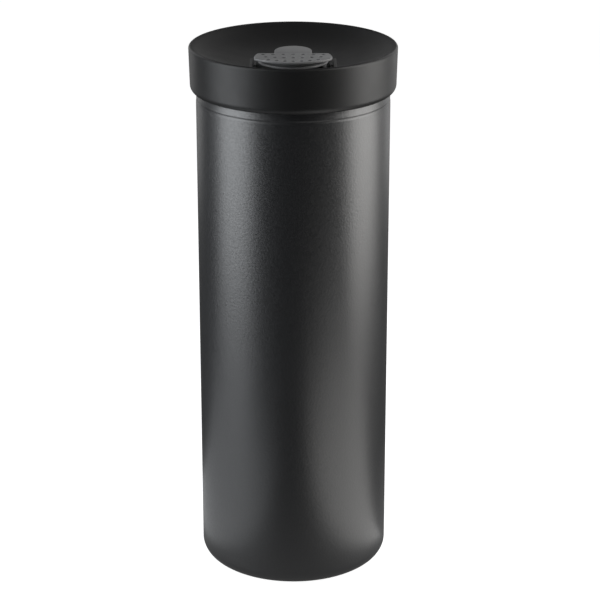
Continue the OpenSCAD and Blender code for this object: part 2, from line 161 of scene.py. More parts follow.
class LeverSizes(PropertyGroup):
    """Sizes of the rocker lever."""

    front: length("Front reach", "Distance from the axis to the grip plate's front", -low("flip_lever").y)
    plate_length: length("Plate length", "Length of the grip plate, front to back", 14.4 * MM)
    front_radius: length("Front radius", "Radius of the grip plate's front edge", 19.5 * MM)
    end_radius: length("End radius", "Radius of the grip plate's ends", high("flip_lever").x)
    end_back: length("End setback", "Distance from the plate's front to the centre of its ends", 8.4 * MM)
    plate: length("Plate thickness", "Thickness of the grip plate", 0.9 * MM)
    proud: length("Proud height", "Height of the grip plate above the rim", 1.7 * MM)
    wall: length("Finger wall", "Height of the wall under the plate", 2.2 * MM)
    lean: length("Wall lean", "How far the finger wall leans in from top to bottom", 1.2 * MM)
    finger: length("Finger groove", "Depth of the groove for a fingertip", 0.9 * MM)
    tab_radius: length("Tab radius", "Radius of the thumb tab's round end", 7.0 * MM)
    tab_length: length("Tab length", "Length of the thumb tab behind the plate", 11.4 * MM)
    tab: length("Tab thickness", "Thickness of the thumb tab", 1.6 * MM)
    tab_tilt: angle("Tab tilt", "Angle at which the tab rises to the back", 1.0)
    barrel: length("Barrel radius", "Radius of the hinge barrel", 2.9 * MM)
    neck: length("Neck length", "Length of the neck in front of the hinge pin", 4.5 * MM)
    pin_gap: length("Pin clearance", "Radial clearance between pin and barrel", 0.06 * MM)
    dimple: length("Dimple radius", "Radius of each grip dimple", 0.8 * MM)
    dimple_deep: length("Dimple depth", "Depth of each grip dimple", 0.6 * MM)
    dimple_pitch: length("Dimple pitch", "Distance between the columns of dimples", 3.75 * MM)


class Finishes(PropertyGroup):
    """Colours and gloss of the finishes."""

    coat: colour("Powder coat", "Colour of the coated steel", (0.0105, 0.0110, 0.0122))
    coat_rough: share("Coat roughness", "Roughness of the powder coat", 0.38)
    lid: colour("Lid plastic", "Colour of the lid's plastic", (0.0080, 0.0080, 0.0082))
    lid_rough: share("Lid roughness", "Roughness of the lid's plastic", 0.46)
    # painted sheen: the lever gets a grey far lighter than the lid's black plastic, standing in for the
    # back light that its flat top reflects
    lever: colour("Lever plastic", "Colour of the lever's plastic", (0.20, 0.20, 0.203))
    lever_rough: share("Lever roughness", "Roughness of the lever's plastic", 0.38)
    insert: colour("Insert plastic", "Colour of the threaded insert", (0.014, 0.014, 0.015))
    silicone: colour("Silicone", "Colour of the gasket and the stoppers", (0.022, 0.022, 0.023))
    steel: colour("Steel", "Colour of the bare steel", (0.62, 0.62, 0.63))
    foam: colour("Foam", "Colour of the foam in the lid", (0.74, 0.74, 0.72))


class StudioSettings(PropertyGroup):
    """Camera, lights and floor."""

    eye: FloatVectorProperty(name="Camera place", description="Where the camera stands",
                             default=(0.0, -0.790, 0.400), size=3, unit="LENGTH", subtype="TRANSLATION")
    pitch: angle("Camera pitch", "How far the camera looks down", 20.26)
    yaw: angle("Camera yaw", "How far the camera turns to the right", 0.19)
    lens: FloatProperty(name="Focal length", description="Focal length of the lens in millimetres",
                        default=126.54, min=10.0)
    left_power: watts("Left light", "Power of the left soft box", 2.3)
    right_power: watts("Right light", "Power of the right soft box", 2.4)
    left_edge_power: watts("Left edge light", "Power of the panel behind on the left", 0.32)
    right_edge_power: watts("Right edge light", "Power of the panel behind on the right", 0.42)
    back_power: watts("Back panel", "Power of the wide panel behind", 1.0)
    floor_radius: length("Floor radius", "Radius of the round floor", 6.0)
    segments: IntProperty(name="Roundness", description="Flat sides in a full turn of a round piece",
                          default=192, min=48, max=512)


# ---------------------------------------------------------------- mesh helpers

def arc(cx, cz, radius, start, end, steps=10):
    """Points of an arc round (cx, cz), between two angles in degrees."""
    turns = [math.radians(start + (end - start) * i / steps) for i in range(steps + 1)]
    return [(cx + radius * math.cos(t), cz + radius * math.sin(t)) for t in turns]


def softened(points, steps=5):
    """Closed outline whose corners that carry a third number are rounded to that radius."""
    out = []
    count = len(points)
    for i, point in enumerate(points):
        here = Vector(point[:2])
        if len(point) < 3 or point[2] <= 0:
            out.append(tuple(here))
            continue
        back = Vector(points[i - 1][:2]) - here
        ahead = Vector(points[(i + 1) % count][:2]) - here
        bend = back.angle(ahead)
        reach = min(point[2] / math.tan(bend / 2), 0.49 * back.length, 0.49 * ahead.length)
        start, end = here + back.normalized() * reach, here + ahead.normalized() * reach
        radius = reach * math.tan(bend / 2)
        inward = (back.normalized() + ahead.normalized()).normalized()
        middle = here + inward * (radius / math.sin(bend / 2))
        for k in range(steps + 1):
            spoke = (start - middle).lerp(end - middle, k / steps)
            out.append(tuple(middle + spoke.normalized() * radius))
    return out


def held(points):
    """Adds a point close to each end of a long straight, so that its shading stays flat."""
    near = 0.25 * MM
    out = []
    for i, point in enumerate(points):
        here, after = Vector(point), Vector(points[(i + 1) % len(points)])
        out.append(tuple(here))
        span = (after - here).length
        if span > 8 * near:
            out.append(tuple(here.lerp(after, near / span)))
            out.append(tuple(here.lerp(after, 1 - near / span)))
    return out


def finished(bm, name):
    """Turns a bmesh into a smooth-shaded object with sharp edges where it bends hard."""
    bmesh.ops.remove_doubles(bm, verts=bm.verts, dist=1e-7)
    bmesh.ops.recalc_face_normals(bm, faces=bm.faces)
    mesh = bpy.data.meshes.new(name)
    bm.to_mesh(mesh)
    bm.free()
    piece = bpy.data.objects.new(name, mesh)
    bpy.context.scene.collection.objects.link(piece)
    shade(piece)
    return piece


def shade(piece, sharp=40.0):
    """Smooth shading, with sharp edges where the surface bends by more than an angle."""
    piece.data.polygons.foreach_set("use_smooth", [True] * len(piece.data.polygons))
    piece.data.set_sharp_from_angle(angle=math.radians(sharp))


def lathe_bm(profile, segments, start=0.0, sweep=360.0):
    """Turns a closed (radius, height) outline round the Z axis."""
    bm = bmesh.new()
    full = sweep >= 360.0
    count = segments if full else segments + 1
    rings = []
    for radius, z in profile:
        if radius < 1e-7:
            rings.append([bm.verts.new((0, 0, z))] * count)
            continue
        turns = [math.radians(start + sweep * k / segments) for k in range(count)]
        rings.append([bm.verts.new((radius * math.cos(t), radius * math.sin(t), z)) for t in turns])
    for a, b in zip(rings, rings[1:] + rings[:1]):
        for k in range(segments):
            m = (k + 1) % count
            corners = []
            for v in (a[k], a[m], b[m], b[k]):
                if v not in corners:
                    corners.append(v)
            if len(corners) > 2:
                bm.faces.new(corners)
    if not full:
        for k in (0, count - 1):
            bm.faces.new([ring[k] for ring in rings])
    return bm


def lathe(name, profile, segments=None):
    """A turned piece, as round as the studio's setting says where no number is given."""
    segments = segments or bpy.context.scene.tumbler_studio.segments
    return finished(lathe_bm(held(profile), segments), name)


def inset_outline(outline, inset):
    """Moves each point of a flat anticlockwise outline inwards."""
    out = []
    for i, point in enumerate(outline):
        here = Vector(point)
        before = (here - Vector(outline[i - 1])).normalized()
        after = (Vector(outline[(i + 1) % len(outline)]) - here).normalized()
        side_a, side_b = Vector((-before.y, before.x)), Vector((-after.y, after.x))
        side = (side_a + side_b).normalized()
        out.append(tuple(here + side * (inset / max(0.5, side.dot(side_a)))))
    return out


def skin(bm, rings):
    """Makes a closed solid from a row of rings that have equal numbers of points."""
    count = len(rings[0])
    for a, b in zip(rings, rings[1:]):
        for k in range(count):
            m = (k + 1) % count
            bm.faces.new((a[k], a[m], b[m], b[k]))
    bm.faces.new(rings[0][::-1])
    bm.faces.new(rings[-1])
    return bm


def stack_bm(outline, levels):
    """Closed solid from one outline, drawn in by an inset at each height."""
    bm = bmesh.new()
    return skin(bm, [[bm.verts.new((x, y, z)) for x, y in inset_outline(outline, inset)]
                     for inset, z in levels])


def rounded_levels(z0, z1, edge_low, edge_high, steps=4):
    """Levels of a slab whose lower and upper edges are rounded."""
    levels = []
    for k in range(steps + 1):
        t = math.radians(90 * k / steps)
        levels.append((edge_low * (1 - math.sin(t)), z0 + edge_low * (1 - math.cos(t))))
    for k in range(steps + 1):
        t = math.radians(90 * k / steps)
        levels.append((edge_high * (1 - math.cos(t)), z1 - edge_high * (1 - math.sin(t))))
    return levels


def slab(name, outline, z0, z1, edge_low=0.0, edge_high=0.0):
    """A flat piece with rounded edges."""
    levels = [(0, z0), (0, z1)]
    if edge_low + edge_high > 0:
        levels = rounded_levels(z0, z1, edge_low, edge_high)
    return finished(stack_bm(outline, levels), name)


def slot_outline(long, wide, y=0.0, x=0.0):
    """Anticlockwise outline of a slot with round ends."""
    reach, radius = (long - wide) / 2, wide / 2
    right = arc(reach, 0, radius, -90, 90, 16)
    left = arc(-reach, 0, radius, 90, 270, 16)
    return [(px + x, py + y) for px, py in right + left]


def circle_outline(radius, x=0.0, y=0.0, steps=48):
    """Anticlockwise outline of a circle."""
    return arc(x, y, radius, 0, 360 - 360 / steps, steps - 1)


def moved(piece, matrix):
    """Moves the points of a piece's mesh."""
    piece.data.transform(matrix)
    return piece


def pin_place():
    """Where the hinge pin's axis lies, as its Y and its Z, and the pin's radius."""
    a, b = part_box("hinge_pin")
    return (a.y + b.y) / 2, (a.z + b.z) / 2, (b.z - a.z) / 2


def along_pin(piece):
    """Lays a piece that was made round the Z axis along the hinge pin."""
    y, z, _ = pin_place()
    return moved(piece, Matrix.Translation((0, y, z)) @ Matrix.Rotation(math.radians(90), 4, "Y"))


def settle(piece):
    """Applies a piece's modifiers to its mesh."""
    bpy.context.view_layer.update()
    shown = piece.evaluated_get(bpy.context.evaluated_depsgraph_get())
    mesh = bpy.data.meshes.new_from_object(shown)
    old = piece.data
    piece.modifiers.clear()
    piece.data = mesh
    mesh.name = piece.name
    bpy.data.meshes.remove(old)
    return piece


def carve(piece, tool, how="DIFFERENCE"):
    """Cuts a tool out of a piece, or joins it on, and removes the tool."""
    cut = piece.modifiers.new("carve", "BOOLEAN")
    cut.operation = how
    cut.solver = "EXACT"
    cut.object = tool
    settle(piece)
    bpy.data.objects.remove(tool)
    if not piece.data.polygons:
        raise RuntimeError(f"{piece.name} was left with no faces")
    return piece


def joined(piece, *others):
    """Joins solids into one."""
    for other in others:
        carve(piece, other, "UNION")
    return piece


def drill(piece, radius, reach, segments):
    """Drills a piece along the hinge pin, to a reach on each side of the middle."""
    outline = [(0, -reach), (radius, -reach), (radius, reach), (0, reach)]
    carve(piece, along_pin(finished(lathe_bm(outline, segments), "drill")))


RIDGE_DROP = 7.4 * MM    # from the lip down to where a ridge of the cup begins
RIDGE_SINK = 0.25 * MM   # how far a ridge's root lies inside its wall
RIDGE_CREST = 0.45 * MM  # half the thickness of a ridge at its crest
RIDGE_GAP = 0.35 * MM    # from the crest of a ridge of the lid to the cup's wall
RIDGE_FADE = 14.0        # degrees over which a ridge rises from its wall


def ridge_bm(root, tip, z0, turn, arc_deg, lead, half_root):
    """One thread ridge on a helix, which fades into its wall at both ends."""
    bm = bmesh.new()
    steps = int(arc_deg / 2.5)
    fade, half_tip = RIDGE_FADE, RIDGE_CREST
    rings = []
    for i in range(steps + 1):
        a = arc_deg * i / steps
        rise = min(1.0, a / fade, (arc_deg - a) / fade)
        rise = math.sin(math.radians(90 * rise)) ** 0.8 if rise > 0 else 0.0
        peak = root + (tip - root) * max(rise, 0.02)
        shoulder = root + (peak - root) * 0.86
        section = [(root, -half_root), (shoulder, -half_tip * 1.25), (peak, -half_tip * 0.7),
                   (peak, half_tip * 0.7), (shoulder, half_tip * 1.25), (root, half_root)]
        t = math.radians(turn + a)
        z = z0 + lead * a / 360
        rings.append([bm.verts.new((r * math.cos(t), r * math.sin(t), z + dz)) for r, dz in section])
    return skin(bm, rings)


def thread(piece, cup, root, tip, z0, first, arc_deg):
    """Joins two thread ridges onto a piece, half a turn apart."""
    for turn in (first, first + 180):
        ridge = ridge_bm(root, tip, z0, turn, arc_deg, cup.thread_lead, cup.thread_width / 2)
        carve(piece, finished(ridge, "ridge"), "UNION")
    shade(piece)


# ---------------------------------------------------------------- finishes

class Recipe:
    """A node material under construction."""

    def __init__(self, name):
        self.material = bpy.data.materials.new(name)
        self.material.use_nodes = True
        self.tree = self.material.node_tree
        self.shader = self.tree.nodes["Principled BSDF"]
        self.place = self.add("ShaderNodeTexCoord").outputs["Object"]

    def add(self, kind, **settings):
        """Adds a node of a kind."""
        node = self.tree.nodes.new(kind)
        for key, value in settings.items():
            setattr(node, key, value)
        return node

    def link(self, a, b):
        """Joins an output to an input."""
        self.tree.links.new(a, b)

    def set(self, **values):
        """Sets constants on the shader's own sockets."""
        for key, value in values.items():
            self.shader.inputs[key.replace("_", " ")].default_value = value

    def noise(self, scale, detail=3.0, rough=0.5, place=None):
        """Noise with a number of features in each metre."""
        node = self.add("ShaderNodeTexNoise")
        node.inputs["Scale"].default_value = scale
        node.inputs["Detail"].default_value = detail
        node.inputs["Roughness"].default_value = rough
        self.link(place or self.place, node.inputs["Vector"])
        return node.outputs["Fac"]

    def cells(self, scale):
        """Distance to the middle of the nearest cell, with a number of cells in each metre."""
        node = self.add("ShaderNodeTexVoronoi")
        node.inputs["Scale"].default_value = scale
        self.link(self.place, node.inputs["Vector"])
        return node.outputs["Distance"]

    def ranged(self, value, from_low, from_high, to_low, to_high):
        """Maps a value from one range to another."""
        node = self.add("ShaderNodeMapRange")
        for key, number in (("From Min", from_low), ("From Max", from_high),
                            ("To Min", to_low), ("To Max", to_high)):
            node.inputs[key].default_value = number
        self.link(value, node.inputs["Value"])
        return node.outputs["Result"]

    def maths(self, how, a, b):
        """One sum on two values, either of which may be a number."""
        node = self.add("ShaderNodeMath", operation=how)
        for socket, value in zip(node.inputs, (a, b)):
            if isinstance(value, (int, float)):
                socket.default_value = value
            else:
                self.link(value, socket)
        return node.outputs["Value"]

    def blend(self, factor, a, b):
        """Mixes two colours, either of which may be a plain colour."""
        node = self.add("ShaderNodeMix", data_type="RGBA")
        self.link(factor, node.inputs["Factor"])
        for socket, value in ((node.inputs[6], a), (node.inputs[7], b)):
            if isinstance(value, tuple):
                socket.default_value = (*value, 1.0)
            else:
                self.link(value, socket)
        return node.outputs[2]

    def bump(self, height, strength, distance, under=None):
        """Surface relief from a height."""
        node = self.add("ShaderNodeBump")
        node.inputs["Strength"].default_value = strength
        node.inputs["Distance"].default_value = distance
        self.link(height, node.inputs["Height"])
        if under:
            self.link(under, node.inputs["Normal"])
        return node.outputs["Normal"]

    def wire(self, base=None, rough=None, normal=None):
        """Connects the varying inputs of the shader."""
        for key, value in (("Base Color", base), ("Roughness", rough), ("Normal", normal)):
            if value is not None:
                self.link(value, self.shader.inputs[key])
        return self.material


def tinted(rgb, by):
    """A colour made lighter or darker."""
    return tuple(min(1.0, c * by) for c in rgb)


def powder_coat(looks):
    """Dark grey powder coat: fine orange peel, a faint sparkle and scuffs at the foot."""
    r = Recipe("powder_coat")
    rgb = tuple(looks.coat)
    r.set(IOR=1.95)
    peel = r.noise(1150, 2.0, 0.45)
    grit = r.noise(3400, 1.0, 0.5)
    cloud = r.noise(38, 3.0, 0.55)
    tone = r.blend(r.ranged(cloud, 0.3, 0.7, 0.0, 1.0), tinted(rgb, 0.88), tinted(rgb, 1.12))
    tone = r.blend(r.ranged(grit, 0.52, 0.72, 0.0, 0.55), tone, tinted(rgb, 2.0))
    height = r.add("ShaderNodeSeparateXYZ")
    r.link(r.place, height.inputs["Vector"])
    foot = r.ranged(height.outputs["Z"], 0.0, 2.2 * MM, 1.0, 0.0)
    scuff = r.maths("MULTIPLY", foot, r.ranged(r.noise(520, 4.0, 0.7), 0.50, 0.62, 0.0, 0.8))
    tone = r.blend(scuff, tone, tinted(rgb, 5.0))
    rough = r.ranged(peel, 0.25, 0.75, looks.coat_rough - 0.04, looks.coat_rough + 0.05)
    normal = r.bump(peel, 0.6, 0.075 * MM)
    normal = r.bump(grit, 0.35, 0.02 * MM, normal)
    return r.wire(tone, rough, normal)


def moulded(name, rgb, rough, ior=1.5):
    """Satin moulded plastic with a fine spark-eroded grain and a little handling polish."""
    r = Recipe(name)
    r.set(IOR=ior)
    fine = r.noise(2600, 2.0, 0.55)
    cloud = r.noise(55, 3.0, 0.6)
    tone = r.blend(r.ranged(cloud, 0.3, 0.7, 0.0, 1.0), tinted(rgb, 0.86), tinted(rgb, 1.14))
    specks = r.ranged(r.cells(1500), 0.02, 0.07, 0.35, 0.0)
    tone = r.blend(specks, tone, tinted(rgb, 1.8))
    worn = r.ranged(cloud, 0.35, 0.7, rough + 0.035, rough - 0.03)
    worn = r.maths("ADD", worn, r.ranged(fine, 0.3, 0.7, -0.02, 0.02))
    return r.wire(tone, worn, r.bump(fine, 0.4, 0.018 * MM))


def silicone(looks):
    """Soft matt silicone with a faint bloom and dust."""
    r = Recipe("silicone")
    rgb = tuple(looks.silicone)
    r.set(IOR=1.4)
    bloom = r.noise(140, 4.0, 0.6)
    dust = r.noise(4200, 2.0, 0.6)
    tone = r.blend(r.ranged(bloom, 0.3, 0.7, 0.0, 1.0), tinted(rgb, 0.85), tinted(rgb, 1.25))
    tone = r.blend(r.ranged(dust, 0.62, 0.75, 0.0, 0.3), tone, tinted(rgb, 4.0))
    return r.wire(tone, r.ranged(bloom, 0.3, 0.7, 0.62, 0.72), r.bump(dust, 0.3, 0.015 * MM))


def turned_steel(looks):
    """Bare stainless steel with a fine turned grain round the axis."""
    r = Recipe("turned_steel")
    rgb, rough = tuple(looks.steel), 0.27
    r.set(Metallic=1.0)
    parts = r.add("ShaderNodeSeparateXYZ")
    r.link(r.place, parts.inputs["Vector"])
    squares = [r.maths("MULTIPLY", parts.outputs[key], parts.outputs[key]) for key in "XY"]
    across = r.maths("POWER", r.maths("ADD", *squares), 0.5)
    lines = r.add("ShaderNodeCombineXYZ")
    r.link(across, lines.inputs["X"])
    r.link(parts.outputs["Z"], lines.inputs["Z"])
    grain = r.noise(5200, 2.0, 0.6, lines.outputs["Vector"])
    cloud = r.noise(70, 3.0, 0.6)
    tone = r.blend(r.ranged(grain, 0.3, 0.7, 0.0, 1.0), tinted(rgb, 0.82), tinted(rgb, 1.1))
    tone = r.blend(r.ranged(cloud, 0.35, 0.75, 0.0, 0.35), tone, tinted(rgb, 0.8))
    gloss = r.ranged(grain, 0.25, 0.75, rough - 0.05, rough + 0.09)
    return r.wire(tone, gloss, r.bump(grain, 0.25, 0.01 * MM))


def bright_foil(looks):
    """Thin bright foil with soft creases."""
    r = Recipe("bright_foil")
    r.set(Metallic=1.0)
    crease = r.noise(160, 4.0, 0.65)
    rgb = tinted(tuple(looks.steel), 1.25)
    tone = r.blend(r.ranged(crease, 0.3, 0.7, 0.0, 1.0), tinted(rgb, 0.92), rgb)
    return r.wire(tone, r.ranged(crease, 0.3, 0.7, 0.14, 0.26), r.bump(crease, 0.6, 0.12 * MM))


def sintered_metal(name, rgb, rough, metallic):
    """Dull pressed metal or solder glass with a pitted skin."""
    r = Recipe(name)
    r.set(Metallic=metallic)
    pits = r.cells(3600)
    cloud = r.noise(420, 4.0, 0.6)
    tone = r.blend(r.ranged(cloud, 0.3, 0.7, 0.0, 1.0), tinted(rgb, 0.8), tinted(rgb, 1.2))
    gloss = r.ranged(cloud, 0.3, 0.7, rough - 0.06, rough + 0.06)
    return r.wire(tone, gloss, r.bump(pits, 0.4, 0.05 * MM))


def closed_foam(looks):
    """Pale closed-cell foam."""
    r = Recipe("closed_foam")
    rgb = tuple(looks.foam)
    cell = r.cells(1400)
    tone = r.blend(r.ranged(cell, 0.0, 0.6, 0.0, 1.0), tinted(rgb, 0.82), rgb)
    return r.wire(tone, r.ranged(cell, 0.0, 0.6, 0.78, 0.92), r.bump(cell, 0.7, 0.2 * MM))


def pale_floor(looks):
    """Plain matt floor: pale to the camera, dim in reflections, with a soft glow close to the cup."""
    r = Recipe("pale_floor")
    r.set(IOR=1.1, Roughness=0.95)
    seen = r.add("ShaderNodeLightPath").outputs["Is Camera Ray"]
    r.link(r.blend(seen, (0.07, 0.07, 0.07), (0.45, 0.45, 0.45)), r.shader.inputs["Base Color"])
    r.set(Emission_Color=(1.0, 1.0, 1.0, 1.0))
    reach = r.add("ShaderNodeVectorMath", operation="LENGTH")
    r.link(r.place, reach.inputs[0])
    near = r.ranged(reach.outputs["Value"], 0.05, 0.14, 0.20, 0.0)
    glow = r.maths("MAXIMUM", near, r.maths("MULTIPLY", seen, 0.96))
    r.link(glow, r.shader.inputs["Emission Strength"])
    return r.material


FINISH_MAKERS = {
    "powder_coat": powder_coat,
    "turned_steel": turned_steel,
    "silicone": silicone,
    "bright_foil": bright_foil,
    "closed_foam": closed_foam,
    "pale_floor": pale_floor,
    "solder_glass": lambda looks: sintered_metal("solder_glass", (0.20, 0.20, 0.19), 0.35, 0.0),
    "getter_metal": lambda looks: sintered_metal("getter_metal", (0.30, 0.30, 0.31), 0.6, 1.0),
    "insert_plastic": lambda looks: moulded("insert_plastic", tuple(looks.insert), 0.42),
    "lid_plastic": lambda looks: moulded("lid_plastic", tuple(looks.lid), looks.lid_rough),
    # the lever's finish is the lid's black plastic painted light grey: painted sheen for the back light on
    # its flat top
    "lever_plastic": lambda looks: moulded("lever_plastic", tuple(looks.lever), looks.lever_rough, 1.6),
}
MADE = {}


def paint(piece, name):
    """Gives a mesh object one finish, which is made once and then shared."""
    if name not in MADE:
        MADE[name] = FINISH_MAKERS[name](bpy.context.scene.tumbler_finishes)
    piece.data.materials.clear()
    piece.data.materials.append(MADE[name])


def dress(piece, finish, body, node):
    """Gives a piece its finish, its body and the node that it stands for."""
    paint(piece, finish)
    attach(piece, body)
    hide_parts(node)


# ---------------------------------------------------------------- the cup

class TUMBLER_OT_shell(Operator):
    """Coated outer shell with its rounded base, ring groove and tapered lip band"""

    bl_idname = "tumbler.shell"
    bl_label = "Outer shell"

    def execute(self, context):
        cup = context.scene.tumbler_cup
        big, wall = cup.radius, cup.wall
        groove_z = cup.lip_top - cup.groove_drop
        lip_z = cup.lip_top - cup.lip_roll
        band_r, band_z = big - cup.shoulder_in, groove_z + cup.shoulder
        foot_r = big - cup.corner
        flange_in = cup.cap_radius
        flange_out = flange_in + wall
        flange_top = high("vacuum_base").z
        inside = big - wall
        profile = softened(
            [(flange_in, flange_top), (flange_in, wall, 0.4 * MM), (flange_out, 0, 0.5 * MM)]
            + arc(foot_r, cup.corner, cup.corner, -90, 0, 18)
            + [(big, groove_z - 0.7 * MM, 0.9 * MM), (big - cup.groove_deep, groove_z, 0.35 * MM),
               (big - 0.1 * MM, groove_z + 0.7 * MM, 0.6 * MM), (band_r, band_z, 0.8 * MM),
               (cup.lip_radius, lip_z), (cup.lip_radius - wall, lip_z), (band_r - wall, band_z),
               (inside - cup.groove_deep, groove_z), (inside, groove_z - 3 * MM)]
            + arc(foot_r, cup.corner, cup.corner - wall, 0, -90, 12)
            + [(flange_out, wall), (flange_out, flange_top)])
        dress(lathe("coated_shell", profile), "powder_coat", "cup", "outer_shell")
        return {"FINISHED"}


class TUMBLER_OT_base(Operator):
    """Pressed steel cap under the base, with a raised ring and a shallow centre"""

    bl_idname = "tumbler.base"
    bl_label = "Base cap"

    def execute(self, context):
        cup = context.scene.tumbler_cup
        outer, z0, top = cup.cap_radius, low("base_cap").z, high("base_cap").z
        t = 0.8 * MM
        step = 0.3 * MM
        profile = softened([
            (0, z0 + step), (outer * 0.7, z0 + step, 1.5 * MM), (outer * 0.75, z0, 1.5 * MM),
            (outer - 0.5 * MM, z0, 0.6 * MM), (outer, z0 + 0.5 * MM, 0.4 * MM), (outer, top, 0.2 * MM),
            (outer - t, top, 0.2 * MM), (outer - t, z0 + t, 0.3 * MM), (outer * 0.75, z0 + t, 1.5 * MM),
            (outer * 0.7, z0 + step + t, 1.5 * MM), (0, z0 + step + t)])
        dress(lathe("steel_base_cap", profile), "turned_steel", "cup", "base_cap")
        return {"FINISHED"}


class TUMBLER_OT_liner(Operator):
    """Steel liner with its rolled lip and two thread ridges, and its round-cornered floor"""

    bl_idname = "tumbler.liner"
    bl_label = "Liner and floor"

    def execute(self, context):
        cup = context.scene.tumbler_cup
        t, roll = cup.liner_wall, cup.lip_roll
        out_r, in_r = cup.liner_radius, cup.liner_radius - cup.liner_wall
        neck_out = cup.lip_radius - cup.wall - cup.neck_gap
        neck_in = neck_out - t
        neck_z = cup.lip_top - cup.neck_deep
        slope = neck_in - in_r
        lip_z = cup.lip_top - roll
        profile = softened(
            [(in_r, cup.liner_start), (out_r, cup.liner_start), (out_r, neck_z - slope - t / 2, 1.2 * MM),
             (neck_out, neck_z - t / 2, 1.2 * MM), (neck_out, lip_z)]
            + arc(cup.lip_radius - roll, lip_z, roll, 0, 90, 8)
            + arc(neck_in + roll, lip_z, roll, 90, 180, 8)
            + [(neck_in, neck_z, 1.6 * MM), (in_r, neck_z - slope, 1.6 * MM)])
        liner = lathe("steel_liner", profile)
        thread(liner, cup, neck_in + RIDGE_SINK, neck_in - cup.thread_height,
               cup.lip_top - RIDGE_DROP, 0, 165)
        dress(liner, "turned_steel", "cup", "inner_liner")

        corner = cup.liner_start - cup.floor_low
        middle = out_r - corner
        bowl = ([(0, cup.floor_low)] + arc(middle, cup.liner_start, corner, -90, 0, 16)
                + arc(middle, cup.liner_start, corner - t, 0, -90, 16) + [(0, cup.floor_low + t)])
        dress(lathe("steel_liner_floor", bowl), "turned_steel", "cup", "liner_floor")
        return {"FINISHED"}


class TUMBLER_OT_hidden(Operator):
    """Finishes of the pieces inside the walls: vacuum base, seal, getter, foil, foam and seals"""

    bl_idname = "tumbler.hidden"
    bl_label = "Hidden pieces"

    def execute(self, context):
        finishes = {
            "vacuum_base": "turned_steel",
            "getter_clip": "turned_steel",
            "vacuum_seal": "solder_glass",
            "getter": "getter_metal",
            "insulation_foil": "bright_foil",
            "lid_insulation": "closed_foam",
            "cover_seal": "silicone",
            "tube_seals": "silicone",
        }
        for node, finish in finishes.items():
            paint(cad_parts[node], finish)
        return {"FINISHED"}


# ---------------------------------------------------------------- the lid

def hole_y():
    """Where the middle of the drink hole lies."""
    return (low("sip_stopper").y + high("sip_stopper").y) / 2


def vent_place():
    """Where the middle of the air vent lies."""
    a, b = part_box("vent_stopper")
    return (a.x + b.x) / 2, (a.y + b.y) / 2


def pierce(piece, lid, flare):
    """Cuts the drink hole and the air vent through a piece, each with the same flared levels."""
    vent_x, vent_y = vent_place()
    for outline in (slot_outline(lid.hole_length, lid.hole_width, hole_y()),
                    circle_outline(lid.vent_radius, vent_x, vent_y)):
        carve(piece, finished(stack_bm(outline, flare), "hole"))


class TUMBLER_OT_gasket(Operator):
    """Silicone gasket that the lid presses onto the lip"""

    bl_idname = "tumbler.gasket"
    bl_label = "Lid gasket"

    def execute(self, context):
        points = [v.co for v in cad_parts["lid_gasket"].data.vertices]
        inner = min(abs(point.x) for point in points if abs(point.y) < 1e-6)
        outer, z0, z1 = high("lid_gasket").x, low("lid_gasket").z, high("lid_gasket").z
        edge = 0.35 * MM
        profile = softened([(inner, z0, edge), (outer, z0, edge), (outer, z1, edge), (inner, z1, edge)])
        dress(lathe("silicone_gasket", profile), "silicone", "gasket", "lid_gasket")
        return {"FINISHED"}


class TUMBLER_OT_insert(Operator):
    """Threaded insert that goes down the mouth, and its floor plate with the two tubes"""

    bl_idname = "tumbler.insert"
    bl_label = "Threaded insert"

    def execute(self, context):
        cup, lid = context.scene.tumbler_cup, context.scene.tumbler_lid
        neck_in = cup.lip_radius - cup.wall - cup.neck_gap - cup.liner_wall
        inner = high("plug_floor").x
        outer = inner + lid.insert_wall
        z0, top = low("lid_insert").z, high("lid_insert").z
        flange_r, flange_z = high("lid_insert").x, top - lid.flange
        profile = softened([
            (inner, z0, 0.3 * MM), (outer, z0, 0.5 * MM), (outer, flange_z, 0.3 * MM),
            (flange_r, flange_z, 0.3 * MM), (flange_r, top, 0.3 * MM), (inner, top, 0.3 * MM)])
        insert = lathe("threaded_insert", profile)
        thread(insert, cup, outer - RIDGE_SINK, neck_in - RIDGE_GAP,
               cup.lip_top - RIDGE_DROP - cup.thread_lead / 4, 30, 105)
        dress(insert, "insert_plastic", "lid", "lid_insert")

        plate_top, tube_top, wall = z0 + lid.floor_wall, high("plug_floor").z, lid.tube_wall
        disc = softened([(0, z0), (inner, z0, 0.2 * MM), (inner, plate_top), (0, plate_top)])
        plate = lathe("insert_floor", disc, 144)
        tube = slot_outline(lid.hole_length + 2 * wall, lid.hole_width + 2 * wall, hole_y())
        vent_tube = circle_outline(lid.vent_radius + wall, *vent_place())
        for outline in (tube, vent_tube):
            joined(plate, slab("tube", outline, z0 + 0.5 * MM, tube_top, 0, 0.25 * MM))
        ease = 0.6 * MM
        pierce(plate, lid, [(-ease, z0 - ease), (-ease, z0 - 0.01 * MM), (-0.2 * ease, z0 + 0.5 * ease),
                            (0, z0 + ease), (0, tube_top + 1 * MM)])
        shade(plate)
        dress(plate, "insert_plastic", "lid", "plug_floor")
        return {"FINISHED"}


def dish_height(lid, radius):
    """Height of the dish's upper face at a distance from the axis."""
    edge = lid.radius - lid.rim_width
    top = lid.top - lid.rim_drop
    return top - lid.dish_deep * (1 - (radius / edge) ** 3)


